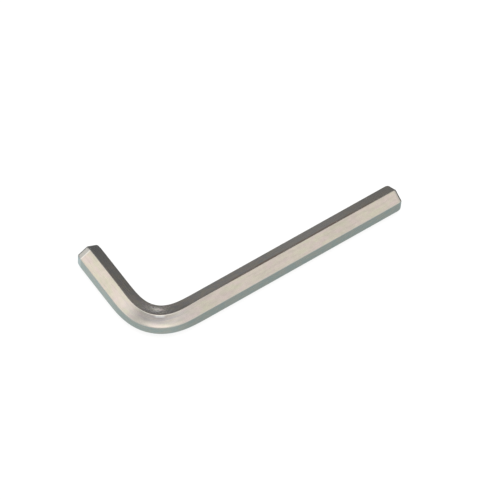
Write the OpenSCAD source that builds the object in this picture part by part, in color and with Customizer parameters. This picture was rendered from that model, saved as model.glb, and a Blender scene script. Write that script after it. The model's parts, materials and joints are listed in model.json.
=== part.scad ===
// Hex key: one length of drawn hexagonal steel bar, bevelled at both ends and bent cold to an L.
// It lies on its side as it comes to rest. The long arm runs along +X and the short arm along +Y.
// The origin is at the middle of its footprint, on the surface that it lies on.

/* [Bar] */
// Width across the flats of the bar, which is the nominal size of the key
across_flats = 8; // [4:0.5:12]
// Radius on the six long edges of the drawn bar
edge_r = 0.4; // [0.1:0.05:0.8]

/* [Arms] */
// Overall length of the long arm, measured from the outer flat of the short arm
long_arm = 100; // [60:1:160]
// Overall length of the short arm, measured from the outer flat of the long arm
short_arm = 40.5; // [32:0.5:70]

/* [Bend] */
// Tightest radius of the centre line of the bar, in the middle of the bend
bend_r = 10.7; // [8:0.1:16]
// Distance that the top and bottom edges drift outwards by the middle of the bend
edge_drift = 0.55; // [0:0.05:1.2]
// Distance that the same two edges sink into the bar there
edge_sink = 0.6; // [0:0.05:1]
// Distance that the squeezed inner flat spreads there, upwards and downwards alike
inner_spread = 0.55; // [0:0.05:1]
// Distance that the stretched outer flat draws in there, from above and from below
outer_draw = 0.6; // [0:0.05:1]

/* [Ends] */
// Length of the shallow lead that narrows each end for the socket
lead_length = 1.2; // [0.4:0.1:4]
// Depth of the lead below each flat
lead_depth = 0.15; // [0.05:0.05:0.6]
// Size of the bevel between the lead and the end face
end_bevel = 0.3; // [0.1:0.05:0.8]

/* [Hidden] */

// A hexagon has a corner every 60 degrees, and the arms stand square to each other
corner_turn = 60;
arms_turn = 90;

// Half the bar from flat to flat, and from sharp edge to sharp edge
half_flat = across_flats / 2;
half_edge = half_flat / cos(corner_turn / 2);
// Half the height of a flat that stands upright, between its sharp edges
half_side = half_flat * tan(corner_turn / 2);
// Steps round each long edge. The number is odd, so the middle step of the bottom edge is level
// and the key lies on a narrow flat.
edge_steps = 5;
// Half the height of the bar as it lies, from its centre to those level steps
half_height = half_edge - edge_r / cos(corner_turn / 2) + edge_r * cos(corner_turn / edge_steps / 2);

// Steps along the bend
bend_steps = 32;

// Unit vector at an angle in a plane
function aim(angle) = [cos(angle), sin(angle)];
// Angle at which a line runs from one point of an outline to the next
function heading(from, to) = atan2(to.y - from.y, to.x - from.x);
// Angle by which an outline turns left at a corner
function turning(before, corner, after) =
    (heading(corner, after) - heading(before, corner) + 360) % 360;

// The corner of an outline that runs anticlockwise, rounded to edge_r
function rounded_corner(before, corner, after) =
    let (
        arrival = heading(before, corner),
        turn = turning(before, corner, after),
        centre = corner + edge_r / cos(turn / 2) * aim(arrival + 90 + turn / 2)
    )
    [for (step = [0:edge_steps]) centre + edge_r * aim(arrival - 90 + turn * step / edge_steps)];

// Sharp corners of the bar's section as [distance towards the inside of the bend, height].
// The strain is 0 in the straight arms and 1 in the middle of the bend.
function section_corners(strain) =
    let (
        inner_z = half_side + inner_spread * strain,
        edge_z = half_edge - edge_sink * strain,
        edge_x = -edge_drift * strain,
        outer_z = half_side - outer_draw * strain
    )
    [
        [half_flat, inner_z], [edge_x, edge_z], [-half_flat, outer_z],
        [-half_flat, -outer_z], [edge_x, -edge_z], [half_flat, -inner_z]
    ];

// The whole section with its edges rounded
function section(strain) =
    let (
        corners = section_corners(strain),
        count = len(corners)
    )
    [
        for (i = [0:count - 1])
            each rounded_corner(corners[(i + count - 1) % count], corners[i], corners[(i + 1) % count])
    ];

// A bar bent over a former yields most in the middle. Along the bend, from 0 at the short arm
// to 1 at the long arm, the strain and the curvature rise and fall together, and the direction
// across the bar turns by what the curvature adds up to.
function strain_at(along) = pow(sin(180 * along), 2);
function inward_at(along) = arms_turn * (along - sin(360 * along) / (2 * PI));

// The mean curvature of the bend is half that of its middle
bend_length = 2 * bend_r * arms_turn * PI / 180;
step_length = bend_length / bend_steps;

// Centre line of the bend, from its start on the short arm
bend_path = [
    for (
        step = 0, point = [0, 0];
        step <= bend_steps;
        point = point + step_length * aim(inward_at((step + 0.5) / bend_steps) - 90), step = step + 1
    )
        point
];
// Distance from the crossing of the arms' axes to the start of the bend, the same along both arms
bend_reach = bend_path[bend_steps].x;

// The section at one step of the bend. Both arms' axes cross at the origin here.
function bend_section(step) =
    let (
        along = step / bend_steps,
        inward = aim(inward_at(along)),
        middle = bend_path[step] + [0, bend_reach]
    )
    [
        for (point = section(strain_at(along)))
            [middle.x + point.x * inward.x, middle.y + point.x * inward.y, point.y]
    ];

// The bend: its sections joined into one closed skin
module bend() {
    sections = [for (step = [0:bend_steps]) bend_section(step)];
    count = len(sections[0]);
    last = bend_steps * count;
    sides = [
        for (step = [0:bend_steps - 1], i = [0:count - 1])
            let (
                near = step * count + i,
                near_next = step * count + (i + 1) % count,
                far = near + count,
                far_next = near_next + count
            )
            each [[near, far, near_next], [near_next, far, far_next]]
    ];
    short_end = [for (i = [0:count - 1]) i];
    long_end = [for (i = [count - 1:-1:0]) last + i];
    polyhedron(points = [for (ring = sections) each ring], faces = concat(sides, [short_end, long_end]));
}

// A slab between two opposite flats of an arm that stands on z = 0, narrowed by the lead and the bevel
module bevelled_slab(length) {
    lead_flat = half_flat - lead_depth;
    end_flat = lead_flat - end_bevel;
    rotate([90, 0, 0])
        linear_extrude(height = 2 * across_flats, center = true)
            polygon([
                [-half_flat, 0], [half_flat, 0], [half_flat, length - lead_length],
                [lead_flat, length - end_bevel], [end_flat, length], [-end_flat, length],
                [-lead_flat, length - end_bevel], [-half_flat, length - lead_length]
            ]);
}

// A straight arm that stands on z = 0, with the inside of the bend towards +X
module arm(length) {
    intersection() {
        linear_extrude(height = length)
            polygon(section(0));
        bevelled_slab(length);
        rotate(corner_turn)
            bevelled_slab(length);
        rotate(2 * corner_turn)
            bevelled_slab(length);
    }
}

module hex_key() {
    // The straight part of each arm starts where the bend ends
    long_straight = long_arm - half_flat - bend_reach;
    short_straight = short_arm - half_flat - bend_reach;
    color("lightgray")
        translate([half_flat - long_arm / 2, half_flat - short_arm / 2, half_height]) {
            bend();
            translate([bend_reach, 0, 0])
                rotate([90, 0, 90])
                    arm(long_straight);
            translate([0, bend_reach, 0])
                rotate([-90, 0, 0])
                    arm(short_straight);
        }
}

hex_key();
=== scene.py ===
"""Hex key: a length of drawn hexagonal steel bar, bevelled, bent to an L and laid on a pale floor.

The bar is modelled straight, as it comes from the drawing die. Its points then move round the bend.
Each point keeps its place in the straight bar, in millimetres, so that the marks of drawing follow the
bar through the bend.
"""

import json
import math

import bmesh
import bpy
from bpy.props import FloatProperty, FloatVectorProperty, PointerProperty
from mathutils import Matrix, Vector


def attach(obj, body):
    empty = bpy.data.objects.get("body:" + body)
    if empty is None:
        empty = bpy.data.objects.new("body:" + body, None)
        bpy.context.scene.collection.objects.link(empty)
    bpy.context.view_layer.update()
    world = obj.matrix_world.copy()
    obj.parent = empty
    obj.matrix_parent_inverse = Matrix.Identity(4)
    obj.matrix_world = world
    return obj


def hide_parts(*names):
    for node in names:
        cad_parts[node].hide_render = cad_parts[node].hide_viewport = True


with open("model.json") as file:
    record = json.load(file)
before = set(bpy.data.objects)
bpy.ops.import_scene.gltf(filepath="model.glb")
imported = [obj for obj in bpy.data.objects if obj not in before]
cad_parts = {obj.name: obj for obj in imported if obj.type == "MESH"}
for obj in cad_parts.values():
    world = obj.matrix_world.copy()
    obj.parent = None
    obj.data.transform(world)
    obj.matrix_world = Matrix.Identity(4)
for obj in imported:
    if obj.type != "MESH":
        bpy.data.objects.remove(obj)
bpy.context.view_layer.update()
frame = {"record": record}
STEEL = frame["record"]["materials"][0]["base_color"]

bl_info = {
    "name": "Hex key",
    "version": (1, 0, 0),
    "blender": (4, 5, 0),
    "location": "View3D > Sidebar > Hex key",
    "description": "Models a bent hexagonal key and the stage that it lies on",
    "category": "Object",
}

MILLIMETRES = 1000.0
# Distance within which two points are the same, in metres
SAME_PLACE = 1e-7

# A hexagon's corners, and the turn from one flat to the next
CORNERS = 6
CORNER_TURN = math.radians(60)
# The arms stand square to each other
ARMS_TURN = math.radians(90)

# Columns of faces across each flat, and facets round each long edge
FLAT_COLUMNS = 8
EDGE_FACETS = 5
# Facets across the worn arris on each rim
RIM_FACETS = 2
# Rings of points along the bend and along the straight arms
BEND_RINGS = 96
LONG_RINGS = 18
SHORT_RINGS = 5

# Tints of the drawn steel, as shares of its colour
PINK = (1.1, 1.015, 1.03)
STRAW = (1.045, 1.055, 0.945)
# Depths below a flat, in millimetres, at which its mask begins and at which it is full
MASK_START = 0.3
MASK_FULL = 0.2
# Height above the axis, in millimetres, from which a mask of the bar's upper side is full
TOP_SIDE = 0.5
# Half the blur where a lead starts, in millimetres
LEAD_BLUR = 0.05
# Place of the painted highlight on the ridge, as a share of the bend's length
RIDGE_HIGHLIGHT_PLACE = 0.555

# Light from the tent above, from the floor and from the dark cloth
UPPER_LEVEL = 0.82
LOWER_LEVEL = 0.47
CLOTH_LEVEL = 0.205
WARM = (1.0, 0.955, 0.89)
COOL = (0.855, 1.0, 1.02)
WHITE = (1.0, 1.0, 1.0)
# Patches of the tent: the light that each adds or takes, its azimuth and elevation in degrees, and the angles
# from there within which it is full and beyond which it is gone
UPPER_PATCHES = (
    (0.6, 158, 46, 3, 19),
    (0.75, -145, 75, 4, 20),
    (0.45, -85, 75, 4, 13),
    (-0.35, -7, 72, 6, 22),
    (-0.13, -76, 60, 3, 12),
)
# The lamps' places in metres and degrees, and half the width of the floor in metres
WIDE_LAMP_HEIGHT = 1.5
SMALL_LAMP_DISTANCE = 1.2
SMALL_LAMP_BEARING = (53.6, 30)
FLOOR_REACH = 2.0


class KeySizes(bpy.types.PropertyGroup):
    """Sizes of the key"""

    across_flats: FloatProperty(
        name="Across flats", description="Width of the bar between two opposite flats",
        default=0.008, min=0.001, unit="LENGTH", precision=4)
    edge_radius: FloatProperty(
        name="Edge radius", description="Radius on the six long edges of the bar",
        default=0.0004, min=0.00001, unit="LENGTH", precision=5)
    long_arm: FloatProperty(
        name="Long arm", description="Overall length of the long arm",
        default=0.1, min=0.01, unit="LENGTH", precision=4)
    short_arm: FloatProperty(
        name="Short arm", description="Overall length of the short arm",
        default=0.0405, min=0.01, unit="LENGTH", precision=4)
    bend_radius: FloatProperty(
        name="Bend radius", description="Tightest radius of the centre line, in the middle of the bend",
        default=0.0107, min=0.001, unit="LENGTH", precision=4)
    edge_drift: FloatProperty(
        name="Edge drift", description="Outward shift of the top and bottom edges in the middle of the bend",
        default=0.00055, min=0, unit="LENGTH", precision=5)
    edge_sink: FloatProperty(
        name="Edge sink", description="Distance that the same two edges sink into the bar there",
        default=0.0006, min=0, unit="LENGTH", precision=5)
    inner_spread: FloatProperty(
        name="Inner spread", description="Distance that the squeezed inner flat spreads there on each side",
        default=0.00055, min=0, unit="LENGTH", precision=5)
    outer_draw: FloatProperty(
        name="Outer draw", description="Distance that the stretched outer flat draws in there on each side",
        default=0.0006, min=0, unit="LENGTH", precision=5)
    outer_hollow: FloatProperty(
        name="Outer hollow", description="Depth to which the two stretched slanting flats hollow there",
        default=0.0002, min=0, unit="LENGTH", precision=5)
    inner_crown: FloatProperty(
        name="Inner crown", description="Height to which the two squeezed slanting flats swell there",
        default=0.00015, min=0, unit="LENGTH", precision=5)
    long_lead: FloatProperty(
        name="Long arm's lead", description="Length of the shallow lead at the end of the long arm",
        default=0.0012, min=0.0001, unit="LENGTH", precision=5)
    short_lead: FloatProperty(
        name="Short arm's lead", description="Length of the shallow lead at the end of the short arm",
        default=0.002, min=0.0001, unit="LENGTH", precision=5)
    lead_depth: FloatProperty(
        name="Lead depth", description="Depth of the lead below each flat",
        default=0.00015, min=0.00001, unit="LENGTH", precision=5)
    end_bevel: FloatProperty(
        name="End bevel", description="Depth of the bevel between the lead and the end face",
        default=0.0003, min=0.00001, unit="LENGTH", precision=5)
    end_bevel_length: FloatProperty(
        name="End bevel length", description="Length of that bevel along the bar",
        default=0.0005, min=0.00001, unit="LENGTH", precision=5)
    rim_softness: FloatProperty(
        name="Rim softness", description="Width of the worn arris round each end face",
        default=0.00008, min=0.000001, unit="LENGTH", precision=6)


class KeyFinish(bpy.types.PropertyGroup):
    """Colours and surface of the steel"""

    steel: FloatVectorProperty(
        name="Steel", description="Colour of the clean drawn steel",
        default=STEEL, min=0, max=1, size=3, subtype="COLOR")
    # Colour of the worn long edges, and also of the painted light round the middle of the long arm's upper
    # inner flat
    worn_and_lit_steel: FloatVectorProperty(
        name="Worn edges", description="Colour of the long edges, polished by handling",
        default=(0.68, 0.66, 0.63), min=0, max=1, size=3, subtype="COLOR")
    # Painted highlight colour, for the ridge in the middle of the bend and the line where the short arm's
    # lead starts
    painted_highlight_steel: FloatVectorProperty(
        name="Rubbed steel", description="Colour of the steel where it is rubbed bright",
        default=(0.92, 0.92, 0.91), min=0, max=1, size=3, subtype="COLOR")
    ground_steel: FloatVectorProperty(
        name="Ground leads", description="Colour of the leads, which are ground after drawing",
        default=(0.605, 0.615, 0.605), min=0, max=1, size=3, subtype="COLOR")
    lavender_steel: FloatVectorProperty(
        name="Strained steel", description="Colour of the bands near the ridge, where the bend strained it",
        default=(0.585, 0.56, 0.585), min=0, max=1, size=3, subtype="COLOR")
    dulling: FloatVectorProperty(
        name="Dulling", description="Share of its colour that the steel keeps where it is dullest",
        default=(0.82, 0.825, 0.835), min=0, max=1, size=3, subtype="COLOR")
    brown_oxide: FloatVectorProperty(
        name="Brown oxide", description="Warmer colour of the thin oxide on the upper inner flat",
        default=(0.7, 0.645, 0.56), min=0, max=1, size=3, subtype="COLOR")
    blue_oxide: FloatVectorProperty(
        name="Blue oxide", description="Cooler colour of the same oxide",
        default=(0.57, 0.585, 0.595), min=0, max=1, size=3, subtype="COLOR")
    grey_oxide: FloatVectorProperty(
        name="Grey oxide", description="Greyer colour of the thin oxide on the outermost flats",
        default=(0.64, 0.6, 0.53), min=0, max=1, size=3, subtype="COLOR")
    green_oxide: FloatVectorProperty(
        name="Green oxide", description="Greener colour of the oxide on the outermost flats",
        default=(0.56, 0.585, 0.55), min=0, max=1, size=3, subtype="COLOR")
    # Painted shade, darker and greyer, on the upper inner flat towards the short arm's end
    short_end_shade_steel: FloatVectorProperty(
        name="Unhandled steel", description="Colour of the upper inner flat towards the short arm's end",
        default=(0.44, 0.45, 0.45), min=0, max=1, size=3, subtype="COLOR")
    # Painted shade, darker and browner, on the upper inner flat towards the long arm's end
    long_end_shade_steel: FloatVectorProperty(
        name="Browned steel", description="Colour of the upper inner flat towards the long arm's end",
        default=(0.46, 0.435, 0.395), min=0, max=1, size=3, subtype="COLOR")
    stain: FloatVectorProperty(
        name="Stain", description="Colour of the thin brown film below the top edge",
        default=(0.50, 0.35, 0.26), min=0, max=1, size=3, subtype="COLOR")
    roughness: FloatProperty(
        name="Roughness", description="Roughness of the drawn flats",
        default=0.28, min=0.02, max=1, subtype="FACTOR")


class StudioSetup(bpy.types.PropertyGroup):
    """Camera, floor and lights"""

    aim: FloatVectorProperty(
        name="Aim", description="Point on the floor in the middle of the picture",
        default=(0.00046, -0.00504, 0.0), size=3, subtype="TRANSLATION", unit="LENGTH", precision=5)
    distance: FloatProperty(
        name="Distance", description="Distance from the camera to that point",
        default=1.12655, min=0.1, unit="LENGTH", precision=4)
    turn: FloatProperty(
        name="Turn", description="Direction of the camera round the upright axis",
        default=math.radians(-38.493), unit="ROTATION")
    tilt: FloatProperty(
        name="Tilt", description="Angle between the camera's view and straight down",
        default=math.radians(33.429), unit="ROTATION")
    roll: FloatProperty(
        name="Roll", description="Turn of the camera about its own line of sight",
        default=math.radians(4.443), unit="ROTATION")
    lens: FloatProperty(
        name="Lens", description="Focal length of the camera on a 36 mm sensor",
        default=250.4, min=10, unit="CAMERA")
    floor: FloatVectorProperty(
        name="Floor", description="Colour of the floor",
        default=(0.14, 0.14, 0.14), min=0, max=1, size=3, subtype="COLOR")
    floor_glow: FloatProperty(
        name="Floor glow", description="Light that comes through the floor from below",
        default=0.88, min=0)
    wide_power: FloatProperty(
        name="Wide lamp", description="Power of the wide lamp above, which the steel doesn't mirror",
        default=20, min=0, unit="POWER")
    wide_width: FloatProperty(
        name="Wide lamp's width", description="Diameter of the wide lamp",
        default=1.6, min=0.01, unit="LENGTH")
    small_power: FloatProperty(
        name="Small lamp", description="Power of the small lamp in front of the dark cloth",
        default=0.068, min=0, unit="POWER")
    small_width: FloatProperty(
        name="Small lamp's width", description="Diameter of the small lamp",
        default=0.1, min=0.01, unit="LENGTH")


class Value:
    """An output of a shader node, used as a value, colour or vector in Python sums."""

    def __init__(self, shader, output):
        self.shader = shader
        self.output = output

    def maths(self, operation, *values):
        return self.shader.add("ShaderNodeMath", {"operation": operation}, dict(enumerate(values)))

    def __add__(self, other):
        return self.maths("ADD", self, other)

    __radd__ = __add__

    def __mul__(self, other):
        return self.maths("MULTIPLY", self, other)

    __rmul__ = __mul__

    def __sub__(self, other):
        return self.maths("SUBTRACT", self, other)

    def __rsub__(self, other):
        return self.maths("SUBTRACT", other, self)

    def size(self):
        """The value without its sign."""
        return self.maths("ABSOLUTE", self)

    def stretched(self, scale):
        """The vector with each of its numbers multiplied by its own factor."""
        return self.shader.add("ShaderNodeVectorMath", {"operation": "MULTIPLY"}, {0: self, 1: scale})

    def towards(self, direction):
        """The length of the vector along a direction."""
        return self.shader.add(
            "ShaderNodeVectorMath", {"operation": "DOT_PRODUCT"}, {0: self, 1: direction}, "Value")

    def rise(self, start, end):
        """0 up to start, 1 from end, and a smooth rise between them."""
        return self.shader.add(
            "ShaderNodeMapRange", {"interpolation_type": "SMOOTHSTEP"},
            {"Value": self, "From Min": start, "From Max": end})


class Shader:
    """The nodes of one material or world."""

    def __init__(self, owner):
        owner.use_nodes = True
        self.tree = owner.node_tree
        self.tree.nodes.clear()

    def add(self, kind, settings=None, sockets=None, output=0):
        """Add a node: its settings first, then the values or links of its sockets."""
        node = self.tree.nodes.new(kind)
        for name, setting in (settings or {}).items():
            setattr(node, name, setting)
        for name, value in (sockets or {}).items():
            socket = self.socket(node.inputs, name)
            if isinstance(value, Value):
                self.tree.links.new(value.output, socket)
            else:
                socket.default_value = self.padded(socket, value)
        if not node.outputs:
            return node
        return Value(self, self.socket(node.outputs, output))

    @staticmethod
    def socket(sockets, name):
        """The enabled socket of that name, or the one at that place in the list."""
        if isinstance(name, int):
            return sockets[name]
        return next(socket for socket in sockets if socket.name == name and socket.enabled)

    @staticmethod
    def padded(socket, value):
        """A colour of three numbers gets its fourth, full opacity."""
        if socket.type == "RGBA" and len(value) == 3:
            return (*value, 1.0)
        return value

    def mix(self, first, second, share):
        """The first colour with a share of the second in it."""
        return self.add(
            "ShaderNodeMix", {"data_type": "RGBA", "blend_type": "MIX"},
            {"Factor": share, "A": first, "B": second}, "Result")

    def most(self, first, *others):
        """The largest of several values."""
        for other in others:
            first = self.add("ShaderNodeMath", {"operation": "MAXIMUM"}, {0: first, 1: other})
        return first

    def least(self, first, second):
        """The smaller of two values."""
        return self.add("ShaderNodeMath", {"operation": "MINIMUM"}, {0: first, 1: second})

    def noise(self, vector, scale, detail, roughness):
        """Noise from 0 to 1 round a mean of a half."""
        return self.add("ShaderNodeTexNoise", {"noise_dimensions": "3D"}, {
            "Vector": vector, "Scale": scale, "Detail": detail, "Roughness": roughness})


def bend_length(sizes):
    """Length of the centre line in the bend: its mean curvature is half that of its middle."""
    return 2 * sizes.bend_radius * ARMS_TURN


def inward_at(along):
    """Direction of the bend's inside at a share of its length: 0 at the short arm, 1 at the long arm."""
    return ARMS_TURN * (along - math.sin(math.tau * along) / math.tau)


def bend_line(sizes):
    """Points of the centre line through the bend, one for each ring, from its start on the short arm."""
    step = bend_length(sizes) / BEND_RINGS
    points = [Vector((0.0, 0.0))]
    for ring in range(BEND_RINGS):
        heading = inward_at((ring + 0.5) / BEND_RINGS) - ARMS_TURN
        points.append(points[-1] + step * Vector((math.cos(heading), math.sin(heading))))
    return points


class BarPlan:
    """Where the parts of the straight bar begin and end, and where its bend lies."""

    def __init__(self, sizes):
        self.sizes = sizes
        self.half_flat = sizes.across_flats / 2
        self.half_edge = self.half_flat / math.cos(CORNER_TURN / 2)
        self.line = bend_line(sizes)
        # Distance from the crossing of the arms' axes to the start of the bend, alike on both arms
        self.reach = self.line[-1].x
        self.bend_start = sizes.short_arm - self.half_flat - self.reach
        self.bend_end = self.bend_start + bend_length(sizes)
        self.length = self.bend_end + sizes.long_arm - self.half_flat - self.reach
        if self.bend_start < sizes.short_lead or self.length - self.bend_end < sizes.long_lead:
            raise ValueError("an arm is too short for its lead and the bend")
        # Distances along the bar of the rims: of each end face, of the bevel behind it and of the lead
        self.rims = (
            0.0, sizes.end_bevel_length, sizes.short_lead,
            self.length - sizes.long_lead, self.length - sizes.end_bevel_length, self.length)
        # The bottom edge lies on its middle facet
        facet = CORNER_TURN / EDGE_FACETS
        self.half_height = (self.half_edge - sizes.edge_radius / math.cos(CORNER_TURN / 2)
                            + sizes.edge_radius * math.cos(facet / 2))
        self.crossing = Vector((
            self.half_flat - sizes.long_arm / 2, self.half_flat - sizes.short_arm / 2, self.half_height))

    def strain(self, along):
        """0 in the straight arms and 1 in the middle of the bend."""
        return math.sin(math.pi * min(max(along, 0.0), 1.0)) ** 2

    def stations(self):
        """Distances along the bar of its rings, without those of the two leads."""
        sizes = self.sizes
        arm_end = self.length - sizes.long_lead
        short = [sizes.short_lead + (self.bend_start - sizes.short_lead) * i / SHORT_RINGS
                 for i in range(SHORT_RINGS)]
        bend = [self.bend_start + bend_length(sizes) * i / BEND_RINGS for i in range(BEND_RINGS)]
        long = [self.bend_end + (arm_end - self.bend_end) * i / LONG_RINGS for i in range(LONG_RINGS + 1)]
        return short + bend + long

    def bent(self, point):
        """The place in the finished key of a point of the straight bar."""
        along = (point.x - self.bend_start) / bend_length(self.sizes)
        across, rise = self.squeezed(point.y, point.z, self.strain(along))
        if along <= 0:
            place = Vector((across, self.reach + self.bend_start - point.x, rise))
        elif along >= 1:
            place = Vector((self.reach + point.x - self.bend_end, across, rise))
        else:
            ring = min(int(along * BEND_RINGS), BEND_RINGS - 1)
            middle = self.line[ring].lerp(self.line[ring + 1], along * BEND_RINGS - ring)
            inward = inward_at(along)
            place = Vector((
                middle.x + across * math.cos(inward),
                middle.y + self.reach + across * math.sin(inward),
                rise))
        return self.crossing + place

    def squeezed(self, across, rise, strain):
        """A point of the section moved as the bar yields: each corner has its own shift, and a point
        between two corners takes its share of both."""
        sizes = self.sizes
        shifts = [
            (0.0, sizes.inner_spread), (-sizes.edge_drift, -sizes.edge_sink), (0.0, -sizes.outer_draw),
            (0.0, sizes.outer_draw), (-sizes.edge_drift, sizes.edge_sink), (0.0, -sizes.inner_spread)]
        turn = (math.atan2(rise, across) - CORNER_TURN / 2) % math.tau
        corner = int(turn / CORNER_TURN) % CORNERS
        from_middle = turn - (corner + 0.5) * CORNER_TURN
        share = 0.5 + math.tan(from_middle) / math.tan(CORNER_TURN / 2) / 2
        first = shifts[corner]
        second = shifts[(corner + 1) % CORNERS]
        # Each flat's swelling is greatest midway between its corners
        swelling = (
            sizes.inner_crown, -sizes.outer_hollow, 0.0, -sizes.outer_hollow, sizes.inner_crown, 0.0)
        outward = (corner + 1) * CORNER_TURN
        swell = 4 * share * (1 - share) * swelling[corner]
        shift_across = (1 - share) * first[0] + share * second[0] + swell * math.cos(outward)
        shift_rise = (1 - share) * first[1] + share * second[1] + swell * math.sin(outward)
        return across + strain * shift_across, rise + strain * shift_rise


def drawn_bar(mesh, plan):
    """The straight bar: a hexagon extruded ring by ring, narrowed at both ends, with rounded edges."""
    sizes = plan.sizes
    corner_layer = mesh.verts.layers.int.new("corner")
    bmesh.ops.create_circle(mesh, segments=CORNERS, radius=plan.half_edge)
    bmesh.ops.subdivide_edges(mesh, edges=mesh.edges[:], cuts=FLAT_COLUMNS - 1)
    for vertex in mesh.verts:
        vertex[corner_layer] = int(abs(vertex.co.length - plan.half_edge) < SAME_PLACE)
    # The circle's corners stand up and down, and its own axis turns to lie along the bar
    bmesh.ops.rotate(
        mesh, verts=mesh.verts[:], cent=(0, 0, 0),
        matrix=Matrix(((0, 0, 1), (1, 0, 0), (0, 1, 0))))
    lead_scale = (plan.half_flat - sizes.lead_depth) / plan.half_flat
    end_scale = (plan.half_flat - sizes.lead_depth - sizes.end_bevel) / plan.half_flat
    rings = ([(0.0, end_scale), (sizes.end_bevel_length, lead_scale)]
             + [(along, 1.0) for along in plan.stations()]
             + [(plan.length - sizes.end_bevel_length, lead_scale), (plan.length, end_scale)])
    ring = mesh.verts[:]
    edges = mesh.edges[:]
    bmesh.ops.scale(mesh, verts=ring, vec=(1, end_scale, end_scale))
    for (before, old_scale), (along, scale) in zip(rings, rings[1:]):
        extruded = bmesh.ops.extrude_edge_only(mesh, edges=edges)["geom"]
        ring = [item for item in extruded if isinstance(item, bmesh.types.BMVert)]
        edges = [item for item in extruded if isinstance(item, bmesh.types.BMEdge)]
        bmesh.ops.scale(mesh, verts=ring, vec=(1, scale / old_scale, scale / old_scale))
        bmesh.ops.translate(mesh, verts=ring, vec=(along - before, 0, 0))

    long_edges = [edge for edge in mesh.edges
                  if edge.verts[0][corner_layer] and edge.verts[1][corner_layer]
                  and abs(edge.verts[0].co.x - edge.verts[1].co.x) > SAME_PLACE]
    bmesh.ops.bevel(
        mesh, geom=long_edges, offset=sizes.edge_radius * math.tan(CORNER_TURN / 2), offset_type="OFFSET",
        segments=EDGE_FACETS, profile=0.5, affect="EDGES", material=-1)


def closed_ends(mesh, plan):
    """Both end faces, and the small worn arris along every rim of the two ends."""
    open_edges = [edge for edge in mesh.edges if edge.is_boundary]
    caps = bmesh.ops.holes_fill(mesh, edges=open_edges, sides=0)["faces"]
    if len(caps) != 2:
        raise RuntimeError(f"the bar has {len(caps)} end faces, and it needs 2")
    bmesh.ops.recalc_face_normals(mesh, faces=mesh.faces[:])

    def lies_on_rim(edge):
        first, second = (vertex.co.x for vertex in edge.verts)
        return abs(first - second) < SAME_PLACE and any(abs(first - rim) < SAME_PLACE for rim in plan.rims)

    bmesh.ops.bevel(
        mesh, geom=[edge for edge in mesh.edges if lies_on_rim(edge)], offset=plan.sizes.rim_softness,
        offset_type="OFFSET", segments=RIM_FACETS, profile=0.5, affect="EDGES", material=-1)


def key_mesh(sizes):
    """The finished key's mesh, with the place of each point in the straight bar as an attribute."""
    plan = BarPlan(sizes)
    mesh = bmesh.new()
    drawn_bar(mesh, plan)
    closed_ends(mesh, plan)
    straight = mesh.verts.layers.float_vector.new("straight")
    strained = mesh.verts.layers.float.new("strain")
    for vertex in mesh.verts:
        vertex[straight] = (vertex.co - Vector((plan.bend_start, 0, 0))) * MILLIMETRES
        vertex[strained] = plan.strain((vertex.co.x - plan.bend_start) / bend_length(sizes))
        vertex.co = plan.bent(vertex.co)
    for face in mesh.faces:
        face.smooth = True
    data = bpy.data.meshes.new("hex_key_bar")
    mesh.to_mesh(data)
    mesh.free()
    return data


class BarSurface:
    """The places and the patterns on the bar's surface that its material uses. Lengths are in millimetres."""

    def __init__(self, shader, sizes):
        self.shader = shader
        self.place = shader.add("ShaderNodeAttribute", {"attribute_name": "straight"}, output="Vector")
        self.strain = shader.add("ShaderNodeAttribute", {"attribute_name": "strain"}, output="Fac")
        self.along = self.place.towards((1, 0, 0))
        self.height = self.facing(90)

        plan = BarPlan(sizes)
        self.half_flat = plan.half_flat * MILLIMETRES
        self.half_edge = plan.half_edge * MILLIMETRES
        self.edge_radius = sizes.edge_radius * MILLIMETRES
        self.bend_end = bend_length(sizes) * MILLIMETRES
        self.short_tip = -plan.bend_start * MILLIMETRES
        self.long_tip = (plan.length - plan.bend_start) * MILLIMETRES
        self.short_lead = self.short_tip + sizes.short_lead * MILLIMETRES
        self.long_lead = self.long_tip - sizes.long_lead * MILLIMETRES

        self.edges = self.long_edges()
        self.upper_inner = self.flat(60)
        self.outermost = self.flat(180)
        # Distance from the top edge, more than 0 on the inner side of the bar
        self.below_ridge = self.facing(-30) + self.half_edge * math.sin(CORNER_TURN / 2)

        # Lines left by the die run along the bar. Tints drift slowly along it. Grain has no direction.
        self.lines = self.pattern(0.03, scale=5.0, detail=3.0, roughness=0.6)
        self.streaks = self.pattern(0.12, scale=1.3, detail=2.0)
        self.bands = self.pattern(0.15, scale=0.9, detail=2.0)
        self.patches = self.pattern(0.35, scale=0.55, detail=3.0, roughness=0.6)
        self.flecks = self.pattern(0.6, scale=0.5, detail=1.0)
        self.mottle = self.pattern(0.7, scale=0.9, detail=1.0)
        self.grain = self.pattern(1.0, scale=3.2, detail=3.0, roughness=0.65)
        self.drift = self.pattern(1.0, scale=0.1, detail=1.0)

    def facing(self, turn):
        """The distance of a point from the bar's axis in a direction across it.

        The direction is in degrees from the inside of the bend, towards the top."""
        angle = math.radians(turn)
        return self.place.towards((0, math.cos(angle), math.sin(angle)))

    def flat(self, turn):
        """1 on the flat that faces a direction."""
        return self.facing(turn).rise(self.half_flat - MASK_START, self.half_flat - MASK_FULL)

    def long_edges(self):
        """1 on the six long edges, which are furthest from the axis. The mask ends inside their rounding."""
        reach = self.shader.most(self.facing(30).size(), self.height.size(), self.facing(150).size())
        rounded = self.half_edge - self.edge_radius / math.cos(CORNER_TURN / 2) + self.edge_radius
        return reach.rise(rounded - 0.16 * self.edge_radius, rounded - 0.02 * self.edge_radius)

    def around(self, middle, full, gone):
        """1 within the first distance of a place along the bar, and 0 beyond the second."""
        return 1 - (self.along - middle).size().rise(full, gone)

    def pattern(self, length_share, scale, detail, roughness=0.5):
        """Noise whose scale across the bar is per millimetre, and whose scale along it is a share of that."""
        return self.shader.noise(self.place.stretched((length_share, 1.0, 1.0)), scale, detail, roughness)


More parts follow.
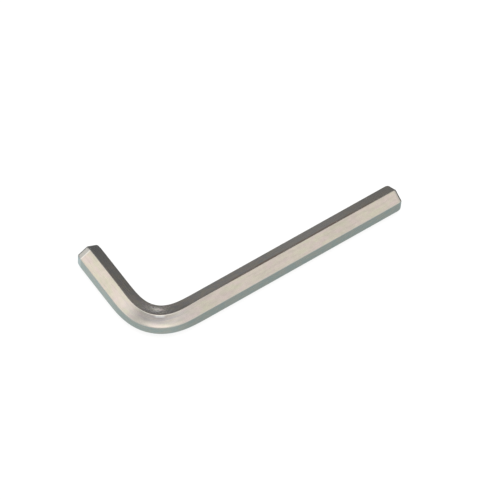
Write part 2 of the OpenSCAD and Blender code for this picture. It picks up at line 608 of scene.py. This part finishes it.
def drawn_colour(bar, finish):
    """Steel that drifts between pink and straw, with polished long edges.

    Lavender bands lie near the ridge of the bend, and dull mottling everywhere."""
    shader = bar.shader
    pink = tuple(part * gain for part, gain in zip(finish.steel, PINK))
    straw = tuple(part * gain for part, gain in zip(finish.steel, STRAW))
    tinted = shader.mix(pink, straw, 0.6 * bar.patches.rise(0.4, 0.62) + 0.4 * bar.flecks.rise(0.4, 0.6))
    near_ridge = bar.height.size().rise(2.7, 3.6)
    drifting = shader.mix(
        tinted, finish.lavender_steel, 0.8 * bar.strain * bar.bands.rise(0.4, 0.65) * near_ridge)
    dulled = (0.4 * bar.streaks.rise(0.42, 0.8) + 0.2 * bar.grain.rise(0.45, 0.8)
              + 0.3 * bar.mottle.rise(0.33, 0.67) + 0.25 * bar.drift.rise(0.35, 0.65))
    streaked = shader.mix(drifting, drifting.stretched(finish.dulling), dulled)
    return shader.mix(streaked, finish.worn_and_lit_steel, bar.edges)


def oxidised(bar, finish, colour):
    """Thin oxide on the upper inner flat and on the outermost ones.

    The former wore most of it off the upper inner flat in the bend."""
    shader = bar.shader
    between_edges = 1 - bar.edges
    inner_oxide = shader.mix(finish.brown_oxide, finish.blue_oxide, bar.mottle.rise(0.36, 0.64))
    outer_oxide = shader.mix(
        finish.grey_oxide, finish.green_oxide, (0.5 * bar.mottle + 0.5 * bar.flecks).rise(0.42, 0.58))
    inner_share = 0.6 * bar.upper_inner * between_edges * (1 - 0.8 * bar.strain)
    colour = shader.mix(colour, inner_oxide, inner_share)
    return shader.mix(colour, outer_oxide, 0.8 * bar.outermost * between_edges)


def painted_light_and_shade(bar, finish, colour):
    """Painted light and shade on the upper inner flat.

    It is painted lighter round the middle of the long arm, darker and greyer at the short arm's end,
    and darker and browner at the long arm's."""
    shader = bar.shader
    # Painted light round the middle of the long arm and painted shade towards both ends, on the upper inner
    # flat alone
    lit_middle = bar.bend_end + 42
    painted_light = bar.upper_inner * bar.around(lit_middle, 6, 20)
    short_end_shade = bar.upper_inner * (1 - bar.along.rise(bar.short_tip, bar.short_tip + 14))
    long_end_shade = bar.upper_inner * bar.along.rise(bar.long_tip - 30, bar.long_tip - 1)
    colour = shader.mix(colour, finish.worn_and_lit_steel, 0.5 * painted_light)
    colour = shader.mix(colour, finish.short_end_shade_steel, 0.65 * short_end_shade)
    return shader.mix(colour, finish.long_end_shade_steel, 0.62 * long_end_shade)


def filmed(bar, finish, colour):
    """A brown film just below the top edge, on the long arm's inner side and in traces on the short arm."""
    width = (bar.below_ridge.rise(-0.1, 0.1) * (1 - bar.below_ridge.rise(0.4, 1.0))
             * bar.height.rise(0, TOP_SIDE))
    long_side = bar.along.rise(bar.bend_end, bar.bend_end + 12)
    from_tip = bar.shader.least(bar.along - bar.short_tip, bar.long_tip - bar.along)
    film = (width * (0.25 + 0.75 * long_side) * (0.3 + 0.7 * bar.streaks.rise(0.4, 0.6))
            * from_tip.rise(2, 14))
    return bar.shader.mix(colour, finish.stain, 0.8 * film)


def ground_leads_and_highlights(bar, finish, colour):
    """The leads, ground to a neutral grey, and two painted highlights in a light steel colour.

    One is painted on the line where the short arm's lead starts,
    and one on the ridge in the middle of the bend."""
    shader = bar.shader
    ground = (1 - 0.9 * bar.upper_inner) * shader.most(
        1 - bar.along.rise(bar.short_lead - LEAD_BLUR, bar.short_lead + LEAD_BLUR),
        0.4 * bar.along.rise(bar.long_lead - LEAD_BLUR, bar.long_lead + LEAD_BLUR))
    # Painted highlight on the line where the short arm's lead starts, left off the upper inner flat
    lead_highlight = bar.around(bar.short_lead, 0.1, 0.25) * (1 - bar.upper_inner)
    # Painted highlight: a band just on the outer side of the ridge, painted bright in the middle of the bend
    ridge = (bar.below_ridge.rise(-0.48, -0.34) * (1 - bar.below_ridge.rise(-0.12, 0.02))
             * bar.height.rise(0, TOP_SIDE))
    highlit = bar.around(RIDGE_HIGHLIGHT_PLACE * bar.bend_end, 0.8, 2.0) * ridge
    colour = shader.mix(colour, finish.ground_steel, ground)
    return shader.mix(colour, finish.painted_highlight_steel, shader.most(0.7 * lead_highlight, highlit))


def drawn_steel(sizes, finish):
    """Satin steel: drawn, bent cold and ground at both ends, with painted light and shade and two painted
    highlights.
    """
    material = bpy.data.materials.new("drawn_steel")
    shader = Shader(material)
    bar = BarSurface(shader, sizes)
    colour = drawn_colour(bar, finish)
    for layer in (oxidised, painted_light_and_shade, filmed, ground_leads_and_highlights):
        colour = layer(bar, finish, colour)

    # The former's groove smooths the upper inner flat in the bend, and takes most of its marks away
    smoothed = bar.strain * bar.upper_inner
    marked = 1 - 0.9 * smoothed
    roughness = (finish.roughness * (1 - 0.16 * smoothed)
                 + marked * (0.06 * (bar.lines - 0.5) + 0.04 * (bar.grain - 0.5)))
    normal = shader.add("ShaderNodeBump", None, {
        "Strength": 0.03, "Distance": 0.00004, "Height": marked * (0.6 * bar.lines + 0.4 * bar.grain)})
    surface = shader.add("ShaderNodeBsdfPrincipled", None, {
        "Base Color": colour, "Metallic": 1.0, "Roughness": roughness, "Normal": normal})
    shader.add("ShaderNodeOutputMaterial", None, {"Surface": surface})
    return material


def floor_glass(studio):
    """Matt white glass with light behind it, which leaves almost no shadow."""
    material = bpy.data.materials.new("floor_glass")
    shader = Shader(material)
    surface = shader.add("ShaderNodeBsdfPrincipled", None, {
        "Base Color": tuple(studio.floor), "Roughness": 0.9, "Specular IOR Level": 0.1,
        "Emission Color": WHITE, "Emission Strength": studio.floor_glow})
    shader.add("ShaderNodeOutputMaterial", None, {"Surface": surface})
    return material


def bearing(azimuth, elevation):
    """The unit vector in a direction, in degrees from +X and above the floor."""
    azimuth = math.radians(azimuth)
    elevation = math.radians(elevation)
    return Vector((
        math.cos(azimuth) * math.cos(elevation),
        math.sin(azimuth) * math.cos(elevation),
        math.sin(elevation)))


def studio_light(world):
    """A soft tent: warm light above, cooler light from the floor, a dark cloth on the far side, and a dimmer
    patch where the camera stands."""
    shader = Shader(world)
    direction = shader.add("ShaderNodeTexCoord", None, None, "Generated")

    def patch(azimuth, elevation, inner, outer):
        """1 within the inner angle of a direction and 0 beyond the outer one."""
        return direction.towards(bearing(azimuth, elevation)).rise(
            math.cos(math.radians(outer)), math.cos(math.radians(inner)))

    height = direction.towards((0, 0, 1))
    above = height.rise(-0.15, 0.2)
    cloth = direction.towards(bearing(48, 15)).rise(0.42, 0.56)
    behind_camera = shader.most(
        patch(-170, 50, 10, 22), patch(175, 64, 8, 17), 0.8 * patch(-128, 36, 10, 28))
    right_side = 1 - direction.towards(bearing(150, 0)).rise(-0.2, 0.3)
    upper = UPPER_LEVEL + 0.15 * height.rise(0.5, 0.68) - 0.4 * behind_camera + 0.05 * right_side
    for light, *place in UPPER_PATCHES:
        upper = upper + light * patch(*place)
    left_side = direction.towards(bearing(175, 0)).rise(-0.36, 0)
    lower = LOWER_LEVEL + 0.12 * left_side + 0.25 * patch(105, -57, 3, 11)
    open_tent = lower + above * (upper - lower)
    cloth_level = (CLOTH_LEVEL + 0.16 * direction.towards(bearing(138, 0))
                   + 0.5 * height * direction.towards(bearing(-42, 0)) + 0.06 * patch(52, 28, 4, 20))
    level = open_tent + cloth * (cloth_level - open_tent)

    hue = shader.mix(COOL, WARM, above)
    neutral = shader.most(cloth, behind_camera, 0.6 * patch(-100, 48, 8, 34))
    grey = shader.mix(hue, WHITE, neutral)
    tent = shader.add("ShaderNodeBackground", None, {"Color": grey, "Strength": level})
    white = shader.add("ShaderNodeBackground", None, {"Color": WHITE, "Strength": 1.0})
    seen = shader.add("ShaderNodeLightPath", None, None, "Is Camera Ray")
    mixed = shader.add("ShaderNodeMixShader", None, {0: seen, 1: tent, 2: white})
    shader.add("ShaderNodeOutputWorld", None, {"Surface": mixed})


def add_lamp(scene, name, width, power, place):
    """A round lamp that faces the middle of the floor."""
    lamp = bpy.data.lights.new(name, "AREA")
    lamp.shape = "DISK"
    lamp.size = width
    lamp.energy = power
    holder = bpy.data.objects.new(name, lamp)
    holder.matrix_world = Matrix.Translation(place) @ place.to_track_quat("Z", "Y").to_matrix().to_4x4()
    scene.collection.objects.link(holder)
    return holder


class HEXKEY_OT_bar(bpy.types.Operator):
    """Draw, narrow and bend the bar of the hex key"""

    bl_idname = "hex_key.bar"
    bl_label = "Make the bar"

    def execute(self, context):
        sizes = context.scene.hex_key_sizes
        finish = context.scene.hex_key_finish
        piece = bpy.data.objects.new("bent_bar", key_mesh(sizes))
        context.scene.collection.objects.link(piece)
        piece.data.materials.append(drawn_steel(sizes, finish))
        weighting = piece.modifiers.new("Flat shading of the flats", "WEIGHTED_NORMAL")
        weighting.mode = "FACE_AREA"
        weighting.weight = 100
        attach(piece, "root")
        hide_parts("hex_key")
        return {"FINISHED"}


class HEXKEY_OT_stage(bpy.types.Operator):
    """Lay the floor and set up the lights and the camera"""

    bl_idname = "hex_key.stage"
    bl_label = "Set the stage"

    def execute(self, context):
        scene = context.scene
        studio = scene.hex_key_studio

        mesh = bmesh.new()
        bmesh.ops.create_grid(mesh, x_segments=1, y_segments=1, size=FLOOR_REACH)
        data = bpy.data.meshes.new("floor")
        mesh.to_mesh(data)
        mesh.free()
        floor = bpy.data.objects.new("floor", data)
        floor.data.materials.append(floor_glass(studio))
        floor.visible_glossy = False
        scene.collection.objects.link(floor)

        world = bpy.data.worlds.new("studio")
        studio_light(world)
        scene.world = world
        scene.view_settings.view_transform = "Standard"

        wide_place = Vector((0, 0, WIDE_LAMP_HEIGHT))
        wide = add_lamp(scene, "wide_lamp", studio.wide_width, studio.wide_power, wide_place)
        wide.visible_glossy = False
        small_place = SMALL_LAMP_DISTANCE * bearing(*SMALL_LAMP_BEARING)
        add_lamp(scene, "small_lamp", studio.small_width, studio.small_power, small_place)

        lens = bpy.data.cameras.new("camera")
        lens.lens = studio.lens
        lens.clip_start = 0.01
        camera = bpy.data.objects.new("camera", lens)
        facing = (Matrix.Rotation(studio.turn, 4, "Z") @ Matrix.Rotation(studio.tilt, 4, "X")
                  @ Matrix.Rotation(studio.roll, 4, "Z"))
        camera.matrix_world = (Matrix.Translation(Vector(studio.aim)) @ facing
                               @ Matrix.Translation((0, 0, studio.distance)))
        scene.collection.objects.link(camera)
        scene.camera = camera
        return {"FINISHED"}


class HEXKEY_PT_sidebar(bpy.types.Panel):
    """Lists the hex key's sizes and colours, and the operators that make it"""

    bl_label = "Hex key"
    bl_space_type = "VIEW_3D"
    bl_region_type = "UI"
    bl_category = "Hex key"

    def draw(self, context):
        scene = context.scene
        for group, operator in (
                (scene.hex_key_sizes, None),
                (scene.hex_key_finish, HEXKEY_OT_bar),
                (scene.hex_key_studio, HEXKEY_OT_stage)):
            column = self.layout.column()
            for name in group.__annotations__:
                column.prop(group, name)
            if operator:
                column.operator(operator.bl_idname)


CLASSES = (KeySizes, KeyFinish, StudioSetup, HEXKEY_OT_bar, HEXKEY_OT_stage, HEXKEY_PT_sidebar)


def register():
    for cls in CLASSES:
        bpy.utils.register_class(cls)
    bpy.types.Scene.hex_key_sizes = PointerProperty(type=KeySizes)
    bpy.types.Scene.hex_key_finish = PointerProperty(type=KeyFinish)
    bpy.types.Scene.hex_key_studio = PointerProperty(type=StudioSetup)


def unregister():
    del bpy.types.Scene.hex_key_studio
    del bpy.types.Scene.hex_key_finish
    del bpy.types.Scene.hex_key_sizes
    for cls in reversed(CLASSES):
        bpy.utils.unregister_class(cls)


def main():
    register()
    bpy.ops.hex_key.bar()
    bpy.ops.hex_key.stage()


if __name__ == "__main__":
    main()
